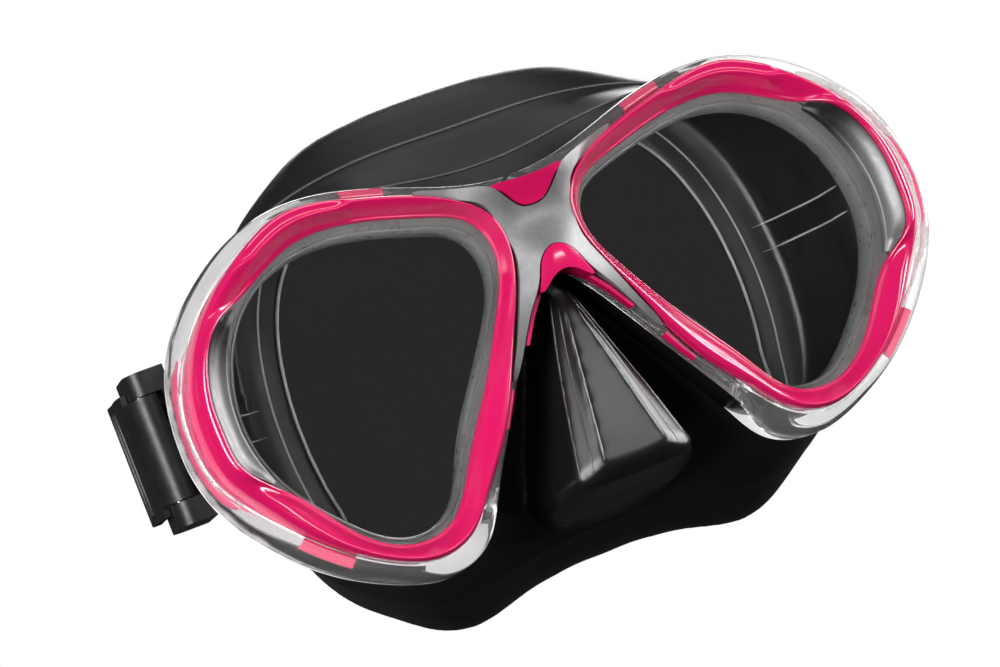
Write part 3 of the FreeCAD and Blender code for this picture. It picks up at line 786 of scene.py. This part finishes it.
# The outer wall runs straight from its front to the crease, then flares to the face rim: each depth
# of the flap with its share of the way out.
SHELL_FRONT, CREASE = 12.1, 28.0
FLARE = [(CREASE, 0.0), (30.0, 0.13), (33.0, 0.42), (36.0, 0.68), (39.0, 0.88), (41.5, 0.985),
         (43.2, 1.0), (44.0, 0.99), (46.0, 0.99)]
SHELL_DEPTHS = [SHELL_FRONT, 12.6, *range(14, 30, 2), 29.2, *np.arange(30.0, 42.0, 1.5),
                41.5, 42.6, 43.4, 44.0]
DRAWN_IN = {SHELL_FRONT: 0.8, 12.6: 0.2, 43.4: 0.2, 44.0: 0.9}
# The space inside the wall: (depth, distance in, further in everywhere above the lip).
HOLLOW = [(14.1, 2.0, 0.0), (20, 2.0, 0.0), (26, 2.0, 0.0), (30, 2.0, 0.0), (34, 2.0, 0.0), (38, 2.2, 0.0),
          (40.5, 3.0, 0.4), (41.6, 4.6, 1.8), (42.3, 7.6, 3.9), (42.7, 9.0, 4.8), (46.0, 9.0, 4.8)]
# Edges of the sealing flange: (depth, distance in, further in above the lip, radius).
FLANGE_EDGES = [(42.3, 8.7, 4.6, 0.42), (41.9, 6.0, 2.9, 0.26), (40.6, 3.1, 0.5, 0.14)]
# Fine moulded lines on the nose pocket: (foot, head, sideways bend, radius), all started in front of it.
NOSE_LINES = [
    ((7.3, -14.0, -31.2), (1.4, -14.0, 1.6), 0.0, 0.32),
    ((10.0, -14.0, -32.4), (1.9, -14.0, 3.8), 0.3, 0.24),
    ((13.0, -14.0, -33.4), (2.4, -14.0, 6.0), 0.4, 0.28),
]


def shell_outline(depth):
    """Outline of the skirt's outer wall at a depth."""
    front, middle, rim = (symmetric(half) for half in (SKIRT_FRONT, SKIRT_MIDDLE, SKIRT_RIM))
    if depth <= CREASE:
        return front + (middle - front) * (depth - SHELL_FRONT) / (CREASE - SHELL_FRONT)
    return middle + (rim - middle) * np.interp(depth, *zip(*FLARE))


def sealed(depth, inset, wider):
    """The outer wall's outline moved in by inset, and by wider more everywhere above the lip."""
    outline = shell_outline(depth)
    return grown(outline, -inset - wider * smoothstep(-42.0, -20.0, outline[:, 1:]))


def nose_rings(shrink):
    """Sections of the nose pocket from front to back, drawn in by shrink for the space inside it."""
    def ring(half, inset, depth, lean=0.0):
        outline = grown(np.array(whole(half), float), -inset)
        return upright(outline, depth + lean * outline[:, 1])

    return [ring(NOSE_PANEL, 0.3 * shrink, -2.9 + 1.2 * shrink, 0.15),
            ring(NOSE_FLANK, 0.6 * shrink, 0.8 * shrink, 0.125),
            ring(NOSE_EDGE, shrink, 6.3 + 0.4 * shrink),
            ring(NOSE_MIDDLE, shrink, 14.1), ring(NOSE_BACK, shrink, 32.1)]


def remeshed(obj, voxel, passes):
    """Rebuilds an object from voxels of the given millimetres and relaxes it, which rounds its edges."""
    modifier = obj.modifiers.new("even", "REMESH")
    modifier.mode = "VOXEL"
    modifier.voxel_size = voxel * MM
    relax = obj.modifiers.new("relax", "SMOOTH")
    relax.factor = 0.5
    relax.iterations = passes
    apply_modifiers(obj)


def snapped(tree, points):
    """Points moved straight back onto the surface, or to its nearest place where that misses."""
    placed = []
    for point in points:
        start = at(*point)
        hit = tree.ray_cast(start, Vector((0, 1, 0)))[0]
        if hit is None:
            hit = tree.find_nearest(start)[0]
        placed.append(millimetres(hit))
    return placed


def skirt_wall():
    """The skirt's wall with its nose pocket, lens ports and face opening, as one even mesh."""
    rows = [upright(grown(shell_outline(depth), -DRAWN_IN.get(depth, 0.0)), depth) for depth in SHELL_DEPTHS]
    skirt = solid("face_skirt", rows)
    boolean(skirt, solid("nose_outer", nose_rings(0.0)), "UNION")
    boolean(skirt, solid("hollow", [upright(sealed(*ring), ring[0]) for ring in HOLLOW]), "DIFFERENCE")
    boolean(skirt, solid("nose_inner", nose_rings(2.0)), "DIFFERENCE")
    for name, side in SIDES:
        port = turned([(OPENING - 1.5, depth) for depth in (9.0, 16.0)], side)
        boolean(skirt, solid(f"port_{name}", port), "DIFFERENCE")
    remeshed(skirt, 0.8, 7)
    return skirt


def brow_line(tree, depth):
    """The line over the brow from temple to temple, on the skirt's outer surface at a depth."""
    outline = upright(shell_outline(depth), depth)
    spots = []
    for point in evenly(np.concatenate([outline[-60:], outline[:60]]), 1.2):
        outward = Vector((point[0], 0, point[2] - 10.0)).normalized()
        hit = tree.ray_cast(at(*point) + outward * 6.0 * MM, -outward)[0]
        if hit:
            spots.append(millimetres(hit))
    return spots


def build_seams(tree):
    """Raised lines moulded over the brow and down the nose pocket."""
    seams = Build()
    for depth, radius in ((30.6, 0.42), (20.0, 0.35)):
        seams.barrel(bead_rows(brow_line(tree, depth), radius))
    for _, side in SIDES:
        for foot, head, bend, radius in NOSE_LINES:
            share = np.linspace(0, 1, 40)[:, None]
            line = np.array(head) * (1 - share) + np.array(foot) * share
            line[:, 0] = (line[:, 0] + bend * np.sin(share[:, 0] * math.pi)) * side
            seams.barrel(bead_rows(snapped(tree, line), radius))
    piece = seams.piece("skirt_seams")
    smooth(piece)
    # The seams' lighter colour is a painted highlight.
    finish_piece(piece, SEAM_PAINTED_HIGHLIGHT, "mask")


def build_seal_edge_highlights(tree):
    """The sealing flange's edges and two ribs along each temple inside the skirt, coloured pale as a painted
    highlight.
    """
    edging = Build()
    backward = np.array([0.0, 1.0, 0.0])
    for depth, inset, wider, radius in FLANGE_EDGES:
        line = sealed(depth, inset, wider)
        inward = upright(sealed(depth, inset + 1.0, wider) - line, 0.0)
        edging.tube([upright(line, depth) + radius * (inward * math.cos(angle) + backward * math.sin(angle))
                     for angle in np.linspace(0, 2 * math.pi, 8, endpoint=False)])
    for height in (9.0, 2.8):
        for _, side in SIDES:
            line = []
            for depth in np.linspace(41.4, 16.5, 34):
                hit = tree.ray_cast(at(EYE[0] * side, depth, height), Vector((side, 0, 0)))[0]
                line.append(millimetres(hit))
            edging.barrel(bead_rows(line, 0.24))
    piece = edging.piece("seal_edges_painted_highlight")
    smooth(piece)
    # Their pale colour is a painted highlight.
    finish_piece(piece, SEAL_PAINTED_HIGHLIGHT, "mask")


def build_collar():
    """The skirt's thick edge behind each lens, wide beside the nose, where it laps over the frame."""
    narrow = BACKING + 1.4
    outer = narrow + (FRAME_OUT - 0.1 - narrow) * NOSE_SIDE
    front = FRAME_BACK + 0.8 - 0.6 * NOSE_SIDE
    profile = [(BACKING, front + 0.3 * NOSE_SIDE), (outer - 0.5, front), (outer, front + 0.2),
               (outer, 12.5), (outer - 1.0, 13.2), (BACKING, 13.2)]
    shape = Build()
    for _, side in SIDES:
        shape.tube(turned(profile, side))
    collar = shape.piece("skirt_collar")
    smooth(collar, 50)
    finish_piece(collar, SILICONE, "mask")


def build_skirt():
    skirt = skirt_wall()
    tree = BVHTree.FromObject(skirt, bpy.context.evaluated_depsgraph_get())
    build_seal_edge_highlights(tree)
    build_seams(tree)
    build_collar()
    smooth(skirt, 60)
    finish_piece(skirt, SILICONE, "mask", ["skirt"])


# ------------------------------------------------------------------ strap
STRAP_LEVEL = 7.0                          # height of the strap's and the buckles' middle
# Upper half of the band's section, with raised edges: (share of its half height, outwards).
BAND = [(0.0, 0.6), (0.5, 0.6), (0.82, 0.6), (0.87, 0.62), (0.90, 0.9), (0.955, 0.9), (0.985, 0.8),
        (1.0, 0.55), (1.0, -0.55), (0.985, -0.8), (0.95, -0.9), (0.5, -0.9), (0.0, -0.9)]


def strap_path():
    """Middle line of the whole strap seen from above, from one tail round the head to the other."""
    across, depth = 87.1, 33.0                       # the roller's axis
    bend = 2.6                                       # from there to the strap's middle
    turn = np.linspace(math.pi, 0, 13)
    arc = np.stack([across + bend * np.cos(turn), depth - bend * np.sin(turn)], -1)
    tail = np.array([(across - bend, depth + 15.0), (across - bend, depth + 6.0)])
    rear = open_spline([(across + bend, depth), (89.2, 44.0), (86.8, 60.0), (81.4, 77.0), (68.0, 97.0),
                        (44.0, 112.0), (18.0, 118.0), (0.0, 119.0)], 160)
    half = np.concatenate([tail, arc, rear[1:]])
    return np.concatenate([half, (half * np.array([-1, 1]))[::-1][1:]])


def build_strap():
    """The band, widened at the back of the head into a pad with a long slot."""
    path = evenly(strap_path(), 0.9)
    pad = (1.0 - smoothstep(30.0, 62.0, np.abs(path[:, 0]))) * (path[:, 1] > 70.0)
    section = BAND + [(-up, out) for up, out in BAND[-2:0:-1]]
    rows = [[(*(place + away * out), STRAP_LEVEL + up * half) for up, out in section]
            for place, away, half in zip(path, sideways(path), 10.0 + 13.0 * pad)]
    strap = solid("strap", rows)
    slot = symmetric([(0.0, 7.0), (14.0, 6.8), (28.0, 4.6), (35.5, 0.0), (28.0, -4.6), (14.0, -6.8),
                      (0.0, -7.0)], 12) + (0.0, STRAP_LEVEL)
    boolean(strap, solid("slot", [upright(slot, 92.0), upright(slot, 130.0)]), "DIFFERENCE")
    soften(strap, 0.4, 60)
    smooth(strap, 40)
    finish_piece(strap, SILICONE, "harness", ["head_strap"])


# ------------------------------------------------------------------ buckle levers and springs
# Upper half of the lever's sections: (height from its middle, height of its ribs, share drawn in).
LEVER_HALF = [(0.0, 0.95, 0.0), (6.0, 0.95, 0.0), (11.8, 0.95, 0.0), (12.2, 0.0, 0.0), (13.6, 0.0, 0.0),
              (13.9, 0.0, 0.042)]
LEVER_SECTIONS = [(-height, ribs, share) for height, ribs, share in LEVER_HALF[:0:-1]] + LEVER_HALF


def lever_plan(ribs):
    """Plan of the lever's slanted plate with ribs of the given height on its outer face."""
    outer = open_spline([(90.95, 27.7), (91.5, 28.3), (91.9, 30.2), (92.3, 33.0), (93.0, 37.5),
                         (93.4, 41.2)], 150)
    inner = open_spline([(91.4, 41.3), (91.3, 36.0), (91.2, 33.0), (90.95, 30.0)], 12)
    first_rib, last_rib, pitch = 29.5, 40.3, 2.15
    depth = outer[:, 1]
    wave = -0.5 * np.cos((depth - first_rib) / pitch * 2 * math.pi)
    ribbed = window(depth, first_rib, last_rib, 0.25)
    return np.concatenate([outer + sideways(outer) * (ribs * ribbed * wave)[:, None], inner])


def build_levers():
    for name, side in SIDES:
        rows = []
        for height, ribs, share in LEVER_SECTIONS:
            plan = lever_plan(ribs)
            plan += (plan.mean(0) - plan) * share
            level = np.full(len(plan), STRAP_LEVEL + height)
            rows.append(np.stack([plan[:, 0] * side, plan[:, 1], level], -1))
        plate = solid(f"lever_plate_{name}", rows)
        smooth(plate, 32)
        finish_piece(plate, NYLON, f"lever_{name}")


def build_springs():
    radius, wire, turns, length = 1.5, 0.32, 7, 5.2
    for name, side in SIDES:
        turn = np.linspace(0, turns * 2 * math.pi, 260)
        across = 88.4 * side + radius * np.cos(turn)
        depth = 26.0 + radius * np.sin(turn)
        height = STRAP_LEVEL + length * (turn / turn[-1] - 0.5)
        spring = solid(f"coil_spring_{name}", bead_rows(np.stack([across, depth, height], -1), wire))
        smooth(spring)
        finish_piece(spring, STEEL, "harness", [f"lever_spring_{name}"])


build_bridge()
build_panels()
build_clips()
build_skirt()
build_strap()
build_levers()
build_springs()


# ------------------------------------------------------------------ CAD nodes that keep their shape
# Each with its material and the width of its softened edges.
KEPT = [("swivel_stud", NYLON, 0.15), ("buckle_yoke", NYLON, 0.5), ("release_lever", NYLON, 0.15),
        ("strap_roller", NYLON, 0.15), ("roller_pin", STEEL, 0.15), ("lever_pin", STEEL, 0.15)]


def dress_kept_nodes():
    for side, _ in SIDES:
        for node, material, edge in KEPT:
            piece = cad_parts[f"{node}_{side}"]
            piece.data.materials.clear()
            piece.data.materials.append(material)
            soften(piece, edge, 40)
            smooth(piece, 40)


dress_kept_nodes()


# ------------------------------------------------------------------ camera, floor and light
def build_camera():
    data = bpy.data.cameras.new("camera")
    data.sensor_width = 36.0
    data.lens = 107.85
    data.clip_start = 0.01
    data.clip_end = 20.0
    camera = new_object("camera", data)
    # The camera's own axes and place.
    right = (0.89864572, -0.2330352, -0.37165907)
    up = (0.33428663, -0.18482689, 0.92417069)
    back = (-0.28405689, -0.9547427, -0.08819334)
    place = at(-196.70, -607.58, -53.42)
    camera.matrix_world = Matrix([*zip(right, up, back, place), (0, 0, 0, 1)])
    bpy.context.scene.camera = camera


def build_world():
    """White behind the object and through clear plastic; a darker studio for reflections."""
    world = bpy.data.worlds.new("studio")
    bpy.context.scene.world = world
    world.use_nodes = True
    tree = world.node_tree
    tree.nodes.clear()
    place = add_node(tree, "TexCoord").outputs["Generated"]
    split = add_node(tree, "SeparateXYZ", feeds={"Vector": place})
    height = add_node(tree, "MapRange", {"From Min": -1.0}, {"Value": split.outputs["Z"]})
    ramp = add_node(tree, "ValToRGB", feeds={"Fac": height.outputs["Result"]})
    stops = ramp.color_ramp.elements
    stops[0].color, stops[1].color = (0.03, 0.03, 0.03, 1), (0.12, 0.12, 0.12, 1)
    for position, grey in ((0.5, 0.05), (0.80, 0.04), (0.93, 0.08)):
        stops.new(position).color = (grey, grey, grey, 1)
    studio = add_node(tree, "Background", feeds={"Color": ramp.outputs["Color"]})
    white = add_node(tree, "Background", {"Color": (1, 1, 1, 1)})
    rays = add_node(tree, "LightPath")
    # 1 for directions that leave backwards, nearly 0 for those that turn forwards.
    rearward = add_node(tree, "MapRange", {"From Min": -0.25, "From Max": 0.05, "To Min": 0.08},
                        {"Value": split.outputs["Y"]})
    through = add_node(tree, "Math", feeds={0: rays.outputs["Is Transmission Ray"],
                                            1: rearward.outputs["Result"]})
    through.operation = "MULTIPLY"
    seen = add_node(tree, "Math", feeds={0: rays.outputs["Is Camera Ray"], 1: through.outputs["Value"]})
    seen.operation = "MAXIMUM"
    mix = add_node(tree, "MixShader", feeds={"Fac": seen.outputs["Value"], 1: studio.outputs["Background"],
                                             2: white.outputs["Background"]})
    add_node(tree, "OutputWorld", feeds={"Surface": mix.outputs["Shader"]})


def soft_light(name, place, size, power):
    """A rectangular lamp that faces the object and isn't itself seen."""
    data = bpy.data.lights.new(name, "AREA")
    data.shape = "RECTANGLE"
    data.size, data.size_y = size
    data.energy = power
    lamp = new_object(name, data)
    lamp.location = place
    lamp.rotation_mode = "QUATERNION"
    lamp.rotation_quaternion = (-Vector(place)).to_track_quat("-Z", "Y")
    lamp.visible_camera = False


def build_lights():
    soft_light("softbox_left", (-0.85, -0.80, 0.10), (0.45, 0.9), 17.0)
    soft_light("softbox_right", (1.05, -0.26, 0.10), (0.45, 0.9), 17.0)
    soft_light("softbox_top", (0.28, 0.02, 0.95), (0.9, 0.22), 0.42)
    soft_light("softbox_front", (0.33, -1.07, 0.31), (0.6, 0.16), 2.4)
    soft_light("softbox_rear", (0.55, 1.15, 0.75), (0.9, 0.5), 6.0)


def flat_sheet(name, corners, material):
    """A sheet of the set, left out of diffuse and glossy light."""
    shape = bpy.data.meshes.new(name)
    shape.from_pydata(corners, [], [(0, 1, 2, 3)])
    shape.materials.append(material)
    sheet = new_object(name, shape)
    sheet.visible_diffuse = False
    sheet.visible_glossy = False
    return sheet


def build_floor():
    white = new_material("pale_floor", (0.9, 0.9, 0.9), 0.9,
                         Emission_Color=(1, 1, 1, 1), Emission_Strength=1.0)
    reach, height = 6.0, CAD_BOX[0].z - 0.12
    corners = [(x * reach, y * reach, height) for x, y in ((-1, -1), (1, -1), (1, 1), (-1, 1))]
    flat_sheet("floor", corners, white)


def build_painted_shade_card():
    """Painted shade: a black card across the face opening, seen only through glass, standing in for the
    shade inside the mask, with a faint reddish glow.
    """
    black = new_material("painted_shade_card", (0.0, 0.0, 0.0), 0.5, Specular_IOR_Level=0.0,
                         Emission_Color=(1.0, 0.90, 0.90, 1), Emission_Strength=0.019)
    depth = RIM_DEPTH + 2.0
    corners = [(-68, depth, -54), (74, depth, -54), (74, depth, 64), (-68, depth, 64)]
    card = flat_sheet("painted_shade_card", [at(*corner) for corner in corners], black)
    card.visible_camera = False
    card.visible_shadow = False


build_camera()
build_world()
build_lights()
build_floor()
build_painted_shade_card()
bpy.context.scene.view_settings.view_transform = "Standard"
